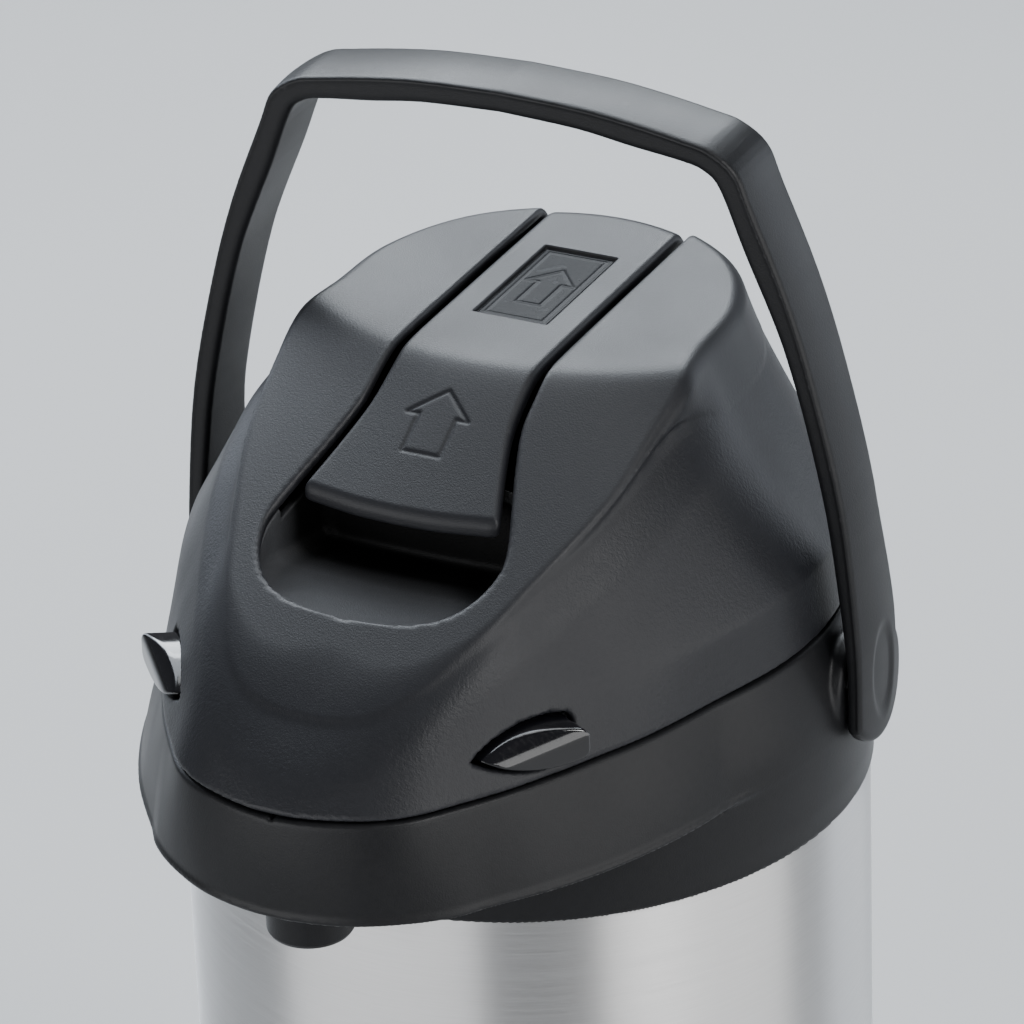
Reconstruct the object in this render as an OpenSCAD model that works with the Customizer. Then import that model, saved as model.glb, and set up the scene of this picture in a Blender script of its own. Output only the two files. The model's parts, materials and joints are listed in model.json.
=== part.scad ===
// Lever-pump vacuum airpot. The origin is at the centre of the foot, on the body axis.
// +Z is up and the pouring nose points to -Y. All sizes are in millimetres.

/* [Body] */
// Outer radius of the steel body
body_r = 80; // [78:0.5:82]
// Height of the collar's lower edge above the table
collar_z = 262; // [240:1:300]
// Wall thickness of the steel sleeve
sleeve_t = 0.8; // [0.6:0.1:1.2]
// Inner radius of the flask
liner_r = 67; // [60:0.5:68]
// Inner radius of the flask's neck
neck_r = 28; // [24:0.5:29]
// Wall thickness of the flask's two walls
flask_t = 0.8; // [0.6:0.1:1.2]

/* [Head] */
// Height of the lid's flat top above the collar's lower edge
top_h = 109.5; // [108:0.5:112]
// Height of the seam between lid and collar above the collar's lower edge
seam_h = 45; // [44:0.5:46]
// Height of the nose's lower rim above the collar's lower edge
rim_h = 21; // [20:0.5:22]
// Wall thickness of the black mouldings
wall = 2.6; // [2:0.1:3]
// Number of facets round the head's shells
facets = 72; // [48:12:96]

/* [Lever] */
// Half width of the lever over the flat top
lever_half = 16.8; // [15:0.1:17]
// Gap between the lever and the lid
lever_gap = 2; // [1.5:0.1:2.5]
// Thickness of the lever's plate
lever_t = 3.6; // [3:0.1:4]

/* [Handle] */
// Height of the handle's pivots above the collar's lower edge
pivot_h = 30; // [28:0.5:32]
// Place of the handle's pivots behind the body axis
pivot_y = 7; // [5:0.5:9]
// Radius of the handle's steel pins
handle_pin_r = 4; // [3:0.5:4.5]

/* [Hidden] */
$fn = 96;

black = "#26282b";
dark_grey = "#3a3d41";
steel = "#b9bcc0";
bright_steel = "#d4d6d8";
rubber = "#1c1c1c";
silicone = "#d8d4c8";

running = 0.05;             // radial clearance of a pin in its bore
seam_z = collar_z + seam_h;
rim_z = collar_z + rim_h;
top_z = collar_z + top_h;
pivot_z = collar_z + pivot_h;
seam_gap = 0.8;             // visible gap between lid and collar
hinge_y = 83;               // axis of the lid's rear hinge
hinge_z = seam_z;
hinge_pin_r = 2;
knuckle_r = 5;
knuckle_half = 12;          // half width of the collar's hinge lug
arm_end = 22.5;             // outer end of the lid's hinge arms
lever_pivot_y = 48;
lever_pivot_z = collar_z + 97;
lever_pin_r = 2.5;
tube_z = seam_z - 10;       // axis of the transfer tube
siphon_y = -15;
siphon_r = 4;
spout_y = -104.8;
spout_r = 9.8;
neck_top = collar_z + pivot_h;
plate_z = seam_z + 0.6;     // underside of the lid plate
plate_t = 2.4;
bellows_top = plate_z + plate_t + 24;
presser_t = 3;
tab_y = -80;

// ---- curves -------------------------------------------------------------------------------

// Smooth curve through a few [x, y] points, read at x
function seg(p, x, i = 0) = i >= len(p) - 2 || x < p[i + 1][0] ? i : seg(p, x, i + 1);
function slope(p, i) =
    i == 0 || i == len(p) - 1 ? 0 : (p[i + 1][1] - p[i - 1][1]) / (p[i + 1][0] - p[i - 1][0]);
function smooth_at(p, x) =
    let (i = seg(p, x), w = p[i + 1][0] - p[i][0], t = (x - p[i][0]) / w)
    (2*t*t*t - 3*t*t + 1) * p[i][1] + (t*t*t - 2*t*t + t) * w * slope(p, i)
    + (3*t*t - 2*t*t*t) * p[i + 1][1] + (t*t*t - t*t) * w * slope(p, i + 1);

// Angle from the nose, 0 to 180, and the point that lies there
function from_nose(a) = abs(a > 180 ? a - 360 : a);
function around(a, r) = [r * sin(a), -r * cos(a)];

// Radius against the angle from the nose, for the outlines of the head
seam_curve = [[0, 120.1], [8.5, 117.5], [14, 113.6], [20, 106], [26.4, 98.9], [31.5, 93.7],
              [39.6, 87.2], [57.3, 78.2], [72, 76], [180, 76]];
rim_curve = [[0, 122.4], [7.6, 120.9], [13.8, 117.2], [19.2, 112.5], [23, 107.4], [30.7, 100.9],
             [42.1, 92.5], [53.5, 86.6], [66, 82.6], [76, 81.4], [180, 81.4]];
ridge_curve = [[0, 106], [7, 104.5], [13.6, 98.9], [20.9, 89.7], [29.8, 78.8], [40.8, 69.3],
               [56.4, 60.2], [70, 54.4], [94, 49.4], [120, 53.5], [150, 59.5], [180, 62]];
ridge_height = [[0, 60.3], [7, 61.6], [13.6, 65.9], [20.9, 73], [29.8, 80.6], [40.8, 87.7],
                [56.4, 95.5], [70, 100], [94, 101], [180, 101]];

function ring(curve, z, inset = 0) =
    [for (i = [0:facets - 1]) let (a = i * 360 / facets)
        concat(around(a, smooth_at(curve, from_nose(a)) - inset), [z])];
function flat(points) = [for (p = points) [p[0], p[1]]];

// A closed solid through a stack of rings with the same number of points, fanned shut at both ends
module stack(rings) {
    n = len(rings[0]);
    k = len(rings);
    polyhedron(
        points = [for (r = rings) each r],
        faces = concat(
            [[for (i = [0:n - 1]) i]],
            [for (j = [0:k - 2], i = [0:n - 1])
                [j*n + i, (j + 1)*n + i, (j + 1)*n + (i + 1) % n, j*n + (i + 1) % n]],
            [[for (i = [n - 1:-1:0]) (k - 1)*n + i]]
        ),
        convexity = 6
    );
}

function both_sides(half) = concat(half, [for (i = [len(half) - 1:-1:0]) [-half[i][0], half[i][1]]]);
function arc(cx, cy, rx, ry, a0, a1, n) =
    [for (i = [0:n]) let (a = a0 + (a1 - a0) * i / n) [cx + rx * cos(a), cy + ry * sin(a)]];

module tube(r_out, r_in, z0, z1) {
    translate([0, 0, z0]) difference() {
        cylinder(r = r_out, h = z1 - z0);
        translate([0, 0, -1]) cylinder(r = r_in, h = z1 - z0 + 2);
    }
}
module rod_x(r, x0, x1, y, z) { translate([x0, y, z]) rotate([0, 90, 0]) cylinder(r = r, h = x1 - x0); }
module block(x0, x1, y0, y1, z0, z1) { translate([x0, y0, z0]) cube([x1 - x0, y1 - y0, z1 - z0]); }
module both() { children(); mirror([1, 0, 0]) children(); }

// ---- foot and body ------------------------------------------------------------------------

mat_t = 2;
swivel_top = 12;
cup_z = 13;
cup_floor = 3.5;
jacket_z = 32;
jacket_r = liner_r + 8;
liner_z = jacket_z + 6;
liner_shoulder = collar_z - 54;
base_corner = 3;            // inner radius of the liner's bottom corner
neck_dome = 42;

module foot_mat() {
    color(rubber) cylinder(r = 70, h = mat_t);
}

module swivel_base() {
    color(black) difference() {
        rotate_extrude() polygon([[0, mat_t], [70.3, mat_t], [73, mat_t + 0.6], [76, 6], [76.6, 9],
                                  [76, swivel_top], [0, swivel_top]]);
        translate([0, 0, mat_t - 1]) cylinder(r = 9.5, h = 4);
        cylinder(r = 5 + running, h = 20);
        tube(64.1, 59.9, swivel_top - 1, swivel_top + 1);
    }
}

module glide_ring() {
    color(silicone) tube(64, 60, swivel_top - 1, swivel_top + 0.6);
}

module swivel_pin() {
    color(steel) {
        translate([0, 0, mat_t + 0.4]) cylinder(r = 9, h = 2.2);
        translate([0, 0, mat_t + 2.6]) cylinder(r = 5, h = cup_z - mat_t - 2.6 + 6);
    }
}

module base_cup() {
    color(black) difference() {
        rotate_extrude() polygon([
            [0, cup_z], [78.5, cup_z], [80.6, cup_z + 1], [81.2, cup_z + 3.5], [81.2, cup_z + 12],
            [80.9, cup_z + 13], [body_r + 0.1, cup_z + 13], [body_r + 0.1, cup_z + cup_floor],
            [body_r - sleeve_t - 0.1, cup_z + cup_floor], [body_r - sleeve_t - 0.1, cup_z + 10],
            [76.2, cup_z + 10], [76.2, cup_z + cup_floor], [10, cup_z + cup_floor], [10, cup_z + 7],
            [0, cup_z + 7]
        ]);
        cylinder(r = 5.02, h = 60);
    }
}

module outer_shell() {
    color(steel) tube(body_r, body_r - sleeve_t, cup_z + cup_floor, collar_z + 12);
}

module flask_cushion() {
    color(rubber) tube(62, 40, cup_z + cup_floor, jacket_z);
}

// Half section of a flask wall: floor, rounded corner, straight side, domed shoulder and neck
function flask_side(r, z, nr, top) = concat(
    arc(r - 10, z + 10, 10, 10, -90, 0, 6),
    arc(nr, liner_shoulder, r - nr, neck_dome + (r - liner_r), 0, 90, 14),
    [[nr, top]]
);

module flask_wall(r, z, nr, top, t) {
    inner = flask_side(r, z, nr, top);
    outer = flask_side(r + t, z - t, nr + t, top);
    rotate_extrude() polygon(concat(
        [[0, z - t]], outer, [for (i = [len(inner) - 1:-1:0]) inner[i]], [[0, z]]
    ));
}

module vacuum_jacket() {
    color(bright_steel)
        flask_wall(jacket_r - flask_t, jacket_z + flask_t, neck_r + 2, neck_top - 2, flask_t);
}

// The liner is welded from a dished base, a straight tube, a dome and the neck
module liner_base() {
    color(bright_steel) rotate_extrude() polygon(concat(
        [[0, liner_z - flask_t]],
        arc(liner_r - base_corner, liner_z + base_corner, base_corner + flask_t, base_corner + flask_t,
            -90, 0, 6),
        arc(liner_r - base_corner, liner_z + base_corner, base_corner, base_corner, 0, -90, 6),
        [[0, liner_z]]
    ));
}

module flask_liner() {
    color(bright_steel) tube(liner_r + flask_t, liner_r, liner_z + base_corner, liner_shoulder);
}

module liner_dome() {
    color(bright_steel) rotate_extrude() polygon(concat(
        arc(neck_r, liner_shoulder, liner_r - neck_r, neck_dome, 0, 90, 14),
        arc(neck_r, liner_shoulder, liner_r - neck_r + flask_t, neck_dome + flask_t, 90, 0, 14)
    ));
}

module liner_neck() {
    color(bright_steel) {
        tube(neck_r + flask_t, neck_r, liner_shoulder + neck_dome + flask_t, neck_top - 2);
        tube(neck_r + 3.2, neck_r, neck_top - 2, neck_top);
    }
}

// ---- mouth and outlet ---------------------------------------------------------------------

adaptor_r = 38;
adaptor_bore = 25;

module neck_adaptor() {
    color(silicone) difference() {
        union() {
            tube(adaptor_r, adaptor_bore, neck_top, neck_top + 10);
            tube(adaptor_r, neck_r + 3.4, neck_top - 8, neck_top + 0.5);
        }
        translate([0, 0, tube_z]) rotate([90, 0, 0]) cylinder(r = siphon_r + 0.1, h = 60);
    }
}

bend_r = 8;

module bend(r_out, r_in, radius) {
    rotate_extrude(angle = 90) translate([radius, 0]) difference() {
        circle(r = r_out);
        circle(r = r_in);
    }
}

module siphon_tube() {
    wall_in = siphon_r - 0.8;
    color(bright_steel) {
        translate([0, siphon_y, 0]) tube(siphon_r, wall_in, liner_z + 5, tube_z - bend_r);
        translate([0, siphon_y - bend_r, tube_z - bend_r]) rotate([90, 0, 90])
            bend(siphon_r, wall_in, bend_r);
        translate([0, siphon_y - bend_r, tube_z]) rotate([90, 0, 0]) tube(siphon_r, wall_in, 0, 24);
    }
}

transfer_r = 6;
transfer_bend = 11;

module transfer_tube() {
    bore = siphon_r + 0.05;
    color(silicone) {
        translate([0, -39, tube_z]) rotate([90, 0, 0])
            tube(transfer_r, bore, 0, -39 - (spout_y + transfer_bend));
        translate([0, spout_y + transfer_bend, tube_z - transfer_bend]) rotate([90, 0, -90])
            bend(transfer_r, bore, transfer_bend);
    }
}

spout_bore = 4.5;
spout_end = collar_z + 8.8;
cover_z = rim_z + 0.6;

module spout() {
    color(black) translate([0, spout_y, 0]) difference() {
        union() {
            translate([0, 0, spout_end + 1]) cylinder(r = spout_r, h = cover_z + 1 - spout_end);
            translate([0, 0, spout_end]) cylinder(r1 = spout_r - 0.8, r2 = spout_r, h = 1);
            translate([0, 0, cover_z + 2]) cylinder(r = 12, h = tube_z - transfer_bend - cover_z - 2);
        }
        translate([0, 0, spout_end - 1]) cylinder(r = spout_bore, h = 60);
    }
}

nose_wall = 2.6;
nose_screw_at = 92;
nose_screw_angles = [23, -23];
nose_screw_places = [for (a = nose_screw_angles) around(a, nose_screw_at)];

module nose_cover() {
    color(black) difference() {
        translate([0, 0, cover_z]) linear_extrude(2) difference() {
            polygon(flat(ring(rim_curve, 0, nose_wall + 1.6)));
            circle(r = 82);
            translate([0, spout_y]) circle(r = spout_r + 0.2);
        }
        for (p = nose_screw_places) translate([p[0], p[1], 0]) cylinder(r = 1.7, h = 400);
    }
}

boss_r = 11.5;
deck_screw_at = 67;
deck_screw_angles = [60, 125, 235, 300];
deck_screw_places = [for (a = deck_screw_angles) around(a, deck_screw_at)];
deck_z = seam_z - 3.4;

// Round wall of the collar: over the sleeve, a shelf on its top edge, and up to the seam
module collar_wall() {
    rotate_extrude() polygon([
        [body_r + 0.15, collar_z], [80.8, collar_z], [81.3, collar_z + 10], [81.4, rim_z],
        [80.6, rim_z + 8], [76.4, seam_z - 1.6], [75.6, seam_z - seam_gap / 2],
        [73.6, seam_z - seam_gap / 2], [73.6, seam_z - 4], [77, rim_z + 8], [77, collar_z + 12.2],
        [body_r + 0.15, collar_z + 12.2]
    ]);
}

// The nose: a lofted wall in front of the round one, open underneath
module nose_shell() {
    intersection() {
        difference() {
            stack([ring(rim_curve, rim_z), ring(rim_curve, rim_z + 1, -0.2),
                   ring(seam_curve, seam_z - 1.6, -0.4), ring(seam_curve, seam_z - seam_gap / 2, 0.4)]);
            stack([ring(rim_curve, rim_z - 1, nose_wall), ring(seam_curve, seam_z + 1, nose_wall)]);
        }
        block(-90, 90, -130, -21, rim_z - 2, seam_z + 2);
    }
}

module collar() {
    color(black) difference() {
        union() {
            collar_wall();
            nose_shell();
            both() rod_x(boss_r, 74, 81.7, pivot_y, pivot_z);
            both() block(66, 76, pivot_y - 9, pivot_y + 9, pivot_z - 9, pivot_z + 9);
            block(-knuckle_half, knuckle_half, 75, hinge_y, hinge_z - 9, hinge_z - 1);
            rod_x(knuckle_r, -knuckle_half, knuckle_half, hinge_y, hinge_z);
            for (a = deck_screw_angles) rotate(a) {
                translate([0, -deck_screw_at, deck_z - 14]) cylinder(r = 5, h = 14);
                block(-2, 2, -78.5, -deck_screw_at, deck_z - 14, deck_z - 1);
            }
            for (a = nose_screw_angles) rotate(a) {
                translate([0, -nose_screw_at, cover_z + 2]) cylinder(r = 3.5, h = 12);
                block(-1, 1, -102.5, -nose_screw_at, cover_z + 2, cover_z + 12);
            }
        }
        both() rod_x(handle_pin_r, 60, 90, pivot_y, pivot_z);
        rod_x(hinge_pin_r, -20, 20, hinge_y, hinge_z);
        for (p = deck_screw_places) translate([p[0], p[1], deck_z - 10]) cylinder(r = 1.5, h = 20);
        for (p = nose_screw_places) translate([p[0], p[1], cover_z]) cylinder(r = 1.5, h = 10);
        translate([0, -60, tube_z]) rotate([90, 0, 0]) cylinder(r = transfer_r + 0.3, h = 26);
        translate([0, 0, deck_z - 0.2]) linear_extrude(10)
            polygon(flat(ring(seam_curve, 0, nose_wall + 1)));
    }
}

latch_slot = [34.5, 44];

module deck() {
    color(black) difference() {
        translate([0, 0, deck_z]) linear_extrude(2) difference() {
            polygon(flat(ring(seam_curve, 0, nose_wall + 1.2)));
            circle(r = adaptor_r + 0.4);
        }
        both() block(latch_slot[0], latch_slot[1], tab_y - 5, tab_y + 5, deck_z - 1, deck_z + 3);
        for (p = deck_screw_places) translate([p[0], p[1], deck_z - 1]) cylinder(r = 1.7, h = 5);
    }
}

// ---- pins and screws ----------------------------------------------------------------------

module handle_pins() {
    color(steel) both() {
        rod_x(handle_pin_r, 66, 85, pivot_y, pivot_z);
        rod_x(7, 63.8, 66, pivot_y, pivot_z);
    }
}

module hinge_pin() {
    color(steel) rod_x(hinge_pin_r, -arm_end, arm_end, hinge_y, hinge_z);
}

// Pan-head screw, head up, with a cross recess; the origin is under the head
module screw(length) {
    difference() {
        union() {
            translate([0, 0, -length]) cylinder(r = 1.5, h = length);
            cylinder(r1 = 3, r2 = 2.6, h = 1.8, $fn = 32);
        }
        for (a = [0, 90]) rotate(a) translate([-1.6, -0.3, 1]) cube([3.2, 0.6, 2]);
    }
}

module deck_screws() {
    color(steel) for (p = deck_screw_places) translate([p[0], p[1], deck_z + 2]) screw(11);
}

module nose_screws() {
    color(steel) for (p = nose_screw_places) translate([p[0], p[1], cover_z]) mirror([0, 0, 1]) screw(9);
}

// ---- handle -------------------------------------------------------------------------------

// Half outlines of the bail in its front plane, from the top down, above the collar's lower edge
bail_outer = [[0, 166.2], [19, 165.5], [31.8, 164.1], [44.6, 162], [51.4, 160.4], [57.7, 155.8],
              [61.3, 147.3], [69.6, 127], [76.1, 105.7], [82.6, 77.5], [85.8, 49.5], [86.6, 32]];
bail_inner = [[0, 160.2], [18.8, 159.3], [31.6, 157.5], [44.5, 155.9], [49.6, 154.4], [53.2, 150.6],
              [58.6, 137], [64.8, 122.6], [68.5, 112.5], [73, 96.2], [77.5, 75.7], [80.4, 55.4],
              [82, 41.4], [82.4, 32]];
bail_front = -3.1;
paddle_r = 14;
paddle_y = 8.6;

module handle() {
    color(black) difference() {
        intersection() {
            translate([0, 50, collar_z]) rotate([90, 0, 0]) linear_extrude(80) difference() {
                polygon(both_sides(concat(bail_outer, [[86.4, 0]])));
                polygon(both_sides(concat(bail_inner, [[82.4, -1]])));
            }
            union() {
                block(-90, 90, bail_front, 16, collar_z + 70, collar_z + 170);
                translate([-90, 0, 0]) rotate([90, 0, 90]) linear_extrude(180) polygon([
                    [bail_front, collar_z + 75], [bail_front, pivot_z - 4], [bail_front + 1.2, pivot_z - 8],
                    [paddle_y, pivot_z - 4], [19.6, pivot_z - 4], [20, pivot_z + 12], [16, collar_z + 75]
                ]);
                rod_x(paddle_r, -90, 90, paddle_y + 0.4, pivot_z);
            }
            block(-90, 90, bail_front, 30, 0, 900);
        }
        both() rod_x(handle_pin_r + running, 80, 85.3, pivot_y, pivot_z);
    }
}

// ---- lid ----------------------------------------------------------------------------------

// Height of the hood's surface: flat on top, then a cone that falls towards the nose
crease_r = 74;
crease_y = 55;
hood_slope = 0.575;
function ramp(d, w) = (d + sqrt(d*d + w*w)) / 2;
function hood_fall(x, y) = hood_slope * ramp(sqrt(x*x + (y - crease_y)*(y - crease_y)) - crease_r - 4, 7)
    - hood_slope * ramp(-40, 7);
function edge_fall(a, f) = let (h = top_h - smooth_at(ridge_height, from_nose(a)),
    p = around(a, smooth_at(ridge_curve, from_nose(a))), g = hood_fall(p[0], p[1])) (h - g) * pow(f, 9);

function hood_ring(f, sink) = [for (i = [0:facets - 1])
    let (a = i * 360 / facets, r = smooth_at(ridge_curve, from_nose(a)), p = around(a, r * f - sink * 0.6))
    [p[0], p[1], top_z - hood_fall(p[0], p[1]) - edge_fall(a, f) - sink]];
// Ring on the lid's side, a part t of the way from the seam up to the hood's edge
function side_ring(t, inset) = [for (i = [0:facets - 1])
    let (a = i * 360 / facets, n = from_nose(a), r0 = smooth_at(seam_curve, n),
         r1 = smooth_at(ridge_curve, n) + 1.2, z0 = seam_z + seam_gap / 2,
         z1 = collar_z + smooth_at(ridge_height, n) - 2.2, r = r0 + (r1 - r0) * t + 5 * t * (1 - t) - inset)
    concat(around(a, r), [z0 + (z1 - z0) * t])];

function shell_rings(inset, sink) = concat(
    [for (t = [0, 0.25, 0.5, 0.75, 1]) side_ring(t, inset)],
    [for (f = [1, 0.96, 0.9, 0.8, 0.65, 0.5, 0.35, 0.15]) hood_ring(f, sink)]
);

// Half outline of the opening round the lever, from the rear to the front of the finger recess
opening_side = [[18.8, -18], [19.1, -27], [19.5, -34.4], [21.8, -42.3], [25, -51], [27.9, -59],
                [28.8, -64.5], [27.1, -70.7], [23.4, -76.1], [17.9, -79.8], [10, -82], [0, -83]];
function opening(rear) = both_sides(concat([[lever_half + lever_gap, rear]], opening_side));

slot_floor = collar_z + 95.5;
notch_half = 23.3;

// Cut as one mesh: the walls are smooth facets with no bore in them
module lid_shell() {
    color(black) resize([0, 0, 0]) difference() {
        stack(shell_rings(0, 0));
        difference() {
            stack(shell_rings(wall + 0.4, wall));
            block(-90, 90, -130, 100, seam_z, seam_z + 0.4);
        }
        block(-90, 90, -130, 100, seam_z - 5, seam_z + seam_gap / 2);
        translate([0, 0, slot_floor]) linear_extrude(40) polygon(opening(75));
        translate([0, 0, collar_z + 66]) linear_extrude(60) polygon(opening(-30));
        block(-notch_half, notch_half, 68, 90, seam_z - 2, seam_z + 6.2);
        both() tab_slot();
        translate([0, 0, seam_z - 3]) linear_extrude(6.2) polygon(flat(ring(seam_curve, 0, wall + 1.3)));
    }
}

// Eye-shaped slot that the latch's tab comes out of: two arcs that meet at its ends
slot_r = 27;
slot_sink = 21.4;
slot_half_angle = 37.5;
module tab_slot() {
    translate([47, -82, collar_z + 52.8]) rotate([0, 0, 62]) rotate([90, 0, 0]) translate([0, 0, -14])
        linear_extrude(28) polygon(concat(
            arc(0, -slot_sink, slot_r, slot_r, 90 - slot_half_angle, 90 + slot_half_angle, 10),
            arc(0, slot_sink, slot_r, slot_r, 270 - slot_half_angle, 270 + slot_half_angle, 10)
        ));
}

tray_rear = -43.2;
tray_floor = collar_z + 70.5;
function grown(points, d) = [for (p = points) [p[0] + d * sign(p[0]), p[1] - d]];

// Floor, side walls and a rear wall that ends under the lever
module finger_tray() {
    outside = both_sides(concat([[25, tray_rear]], [for (p = opening_side) if (p[1] < tray_rear - 4) p]));
    inside = both_sides([for (p = opening_side) if (p[1] < tray_rear - 4) p]);
    color(dark_grey) intersection() {
        difference() {
            translate([0, 0, tray_floor - 2]) linear_extrude(24) polygon(grown(outside, 2));
            translate([0, 0, tray_floor]) linear_extrude(40) polygon(inside);
        }
        translate([-50, 0, 0]) rotate([90, 0, 90]) linear_extrude(100) polygon([
            [-95, tray_floor - 10], [-95, collar_z + 62], [-82, collar_z + 70.6],
            [tray_rear, collar_z + 86.5], [tray_rear, tray_floor - 10]
        ]);
    }
}

lid_screw_places = [for (a = [45, 135, 225, 315]) around(a, 47)];

module lid_plate() {
    color(dark_grey) difference() {
        union() {
            translate([0, 0, plate_z]) linear_extrude(plate_t) difference() {
                polygon(flat(ring(seam_curve, 0, wall + 1.6)));
                circle(r = 6);
            }
            for (x = [[-arm_end, -knuckle_half - 0.4], [knuckle_half + 0.4, arm_end]]) {
                block(x[0], x[1], 68, hinge_y, plate_z, plate_z + 4);
                rod_x(knuckle_r, x[0], x[1], hinge_y, hinge_z);
            }
        }
        rod_x(hinge_pin_r + running, -40, 40, hinge_y, hinge_z);
        for (p = lid_screw_places) translate([p[0], p[1], 0]) cylinder(r = 1.7, h = 900);
        both() block(latch_slot[0], latch_slot[1], tab_y - 5, tab_y + 5, plate_z - 1, plate_z + 5);
    }
}

module lid_gasket() {
    color(silicone) rotate_extrude() polygon([
        [27, plate_z], [36, plate_z], [36, plate_z - 2], [33.5, plate_z - 5.2],
        [29.5, plate_z - 5.2], [27, plate_z - 2]
    ]);
}

housing_r = 42.6;
housing_in = 40.6;

module pump_housing() {
    color(dark_grey) difference() {
        union() {
            tube(housing_r, housing_in, plate_z + plate_t, collar_z + 78);
            for (p = lid_screw_places) translate([p[0], p[1], plate_z + plate_t]) cylinder(r = 5, h = 12);
            both() block(9.2, 13, 39.5, lever_pivot_y + 6, plate_z + plate_t, lever_pivot_z);
            both() rod_x(6, 9.2, 13, lever_pivot_y, lever_pivot_z);
        }
        rod_x(lever_pin_r, -20, 20, lever_pivot_y, lever_pivot_z);
        for (p = lid_screw_places) translate([p[0], p[1], 0]) cylinder(r = 1.5, h = plate_z + plate_t + 9);
        cylinder(r = housing_in, h = 900);
    }
}

folds = 4;
bellows_z = plate_z + plate_t;

bellows_r = 32;             // outer radius in the folds' valleys
fold_depth = 6;
bellows_t = 1.2;

module bellows() {
    step = (bellows_top - bellows_z) / folds;
    outer = [for (i = [0:folds - 1]) each
        [[bellows_r, bellows_z + i*step], [bellows_r + fold_depth, bellows_z + (i + 0.5)*step]]];
    closed = concat(outer, [[bellows_r, bellows_top]]);
    inner = [for (i = [len(closed) - 1:-1:0]) [closed[i][0] - bellows_t, closed[i][1]]];
    color(rubber) rotate_extrude() polygon(concat(closed, inner));
}

spring_r = 22;
wire_r = 1.1;
coils = 4;

function coil_point(t, a) =
    let (z = bellows_z + wire_r + t * (bellows_top - bellows_z - 2*wire_r), r = spring_r + wire_r*cos(a))
    [r * cos(360*coils*t), r * sin(360*coils*t), z + wire_r * sin(a)];

module return_spring() {
    turns = coils * 20;
    color(steel) stack([for (i = [0:turns]) [for (k = [0:7]) coil_point(i / turns, -45 * k)]]);
}

post_top = lever_pivot_z - 4 - 5.5;

module presser() {
    rib_z = bellows_top + presser_t - 0.01;
    color(dark_grey) difference() {
        union() {
            translate([0, 0, bellows_top]) cylinder(r = 37, h = presser_t);
            translate([0, 0, rib_z]) cylinder(r = 8, h = post_top - rib_z);
            for (a = [45:90:315]) rotate(a) translate([6, -1, rib_z]) cube([22, 2, 6]);
        }
        translate([0, 0, bellows_top - 1]) cylinder(r = 3, h = 60);
    }
}

module intake_valve() {
    color(rubber) {
        translate([0, 0, bellows_top - 1.4]) cylinder(r = 8, h = 1.4);
        translate([0, 0, bellows_top]) cylinder(r = 2.9, h = 3);
    }
}

module outlet_valve() {
    color(rubber) {
        translate([0, 0, plate_z - 1.4]) cylinder(r = 9, h = 1.4);
        translate([0, 0, plate_z]) cylinder(r = 5.9, h = 2);
    }
}

module lever_pin() {
    color(steel) rod_x(lever_pin_r, -15, 15, lever_pivot_y, lever_pivot_z);
}

module lid_screws() {
    color(steel) for (p = lid_screw_places) translate([p[0], p[1], plate_z]) mirror([0, 0, 1]) screw(9);
}

// ---- lever --------------------------------------------------------------------------------

lever_side = [[lever_half, -18], [16.9, -26], [17.7, -35], [20.2, -44], [22.6, -51], [24.2, -55.5],
              [20, -56.6], [10, -58.2], [0, -58.7]];

module lever() {
    plan = both_sides(concat([[lever_half, 60]], lever_side));
    top = top_z;
    upper = [[-58.7, top - 23.4], [-57.6, top - 22.4], [-22, top - 2.2], [-18, top - 0.5], [-13, top]];
    under = [[59.6, top - 6.6], [54, top - lever_t], [-18, top - lever_t - 0.4], [-57, top - 26.4],
             [-58.5, top - 25.6]];
    color(black) difference() {
        union() {
            intersection() {
                translate([0, 0, collar_z]) linear_extrude(200) polygon(plan);
                translate([-50, 0, 0]) rotate([90, 0, 90]) linear_extrude(100)
                    polygon(concat(upper, arc(56, top - 4, 4, 4, 90, 0, 4), under));
            }
            rod_x(6, -8.8, 8.8, lever_pivot_y, lever_pivot_z);
            block(-8.8, 8.8, lever_pivot_y - 5, lever_pivot_y + 5, lever_pivot_z, top - lever_t + 0.5);
            rod_x(5, -8, 8, 0, lever_pivot_z - 4);
            block(-8, 8, -4, 4, lever_pivot_z - 4, top - lever_t + 0.5);
        }
        rod_x(lever_pin_r + running, -40, 40, lever_pivot_y, lever_pivot_z);
        block(-label_half, label_half, label_y[0], label_y[1], top - 1.2, top + 5);
    }
}

label_half = 9.2;
label_y = [-0.3, 36.8];

module label_plate() {
    edge = 0.5;
    z = top_z - 1.2;
    arrow = [[0, 8], [6, 2], [3, 2], [3, -6], [-3, -6], [-3, 2], [-6, 2]];
    color(dark_grey) difference() {
        block(-label_half + edge, label_half - edge, label_y[0] + edge, label_y[1] - edge, z, z + 0.9);
        translate([0, 18, z + 0.6]) linear_extrude(3) polygon(arrow);
    }
}

// ---- latches ------------------------------------------------------------------------------

tab_z = collar_z + 52;

// Sections of the tab from front to rear: y, centre x, half width and half height
tab_sections = [[-92, 37.5, 0.6, 0.6], [-87, 43.5, 4, 3.2], [-81.5, 44.6, 8, 4.4], [-78, 45.2, 9.4, 4.4],
                [-74, 47.2, 6, 3.6]];

// Right-hand latch: outer tab, slider and the leg that reaches through the deck
module latch() {
    color("#0b0c0e") {
        intersection() {
            stack([for (s = tab_sections)
                [for (p = arc(0, 0, s[2], s[3], 330, 0, 11)) [s[1] + p[0], s[0], tab_z + p[1]]]]);
            block(30, 60, -100, -60, tab_z - 3.2, tab_z + 6);
        }
        block(33.5, 44, tab_y - 3, tab_y + 4, plate_z + plate_t + 0.4, tab_z + 3);
        block(38, 41, tab_y - 4, tab_y + 4, deck_z - 3, plate_z + plate_t + 1);
    }
}

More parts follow.
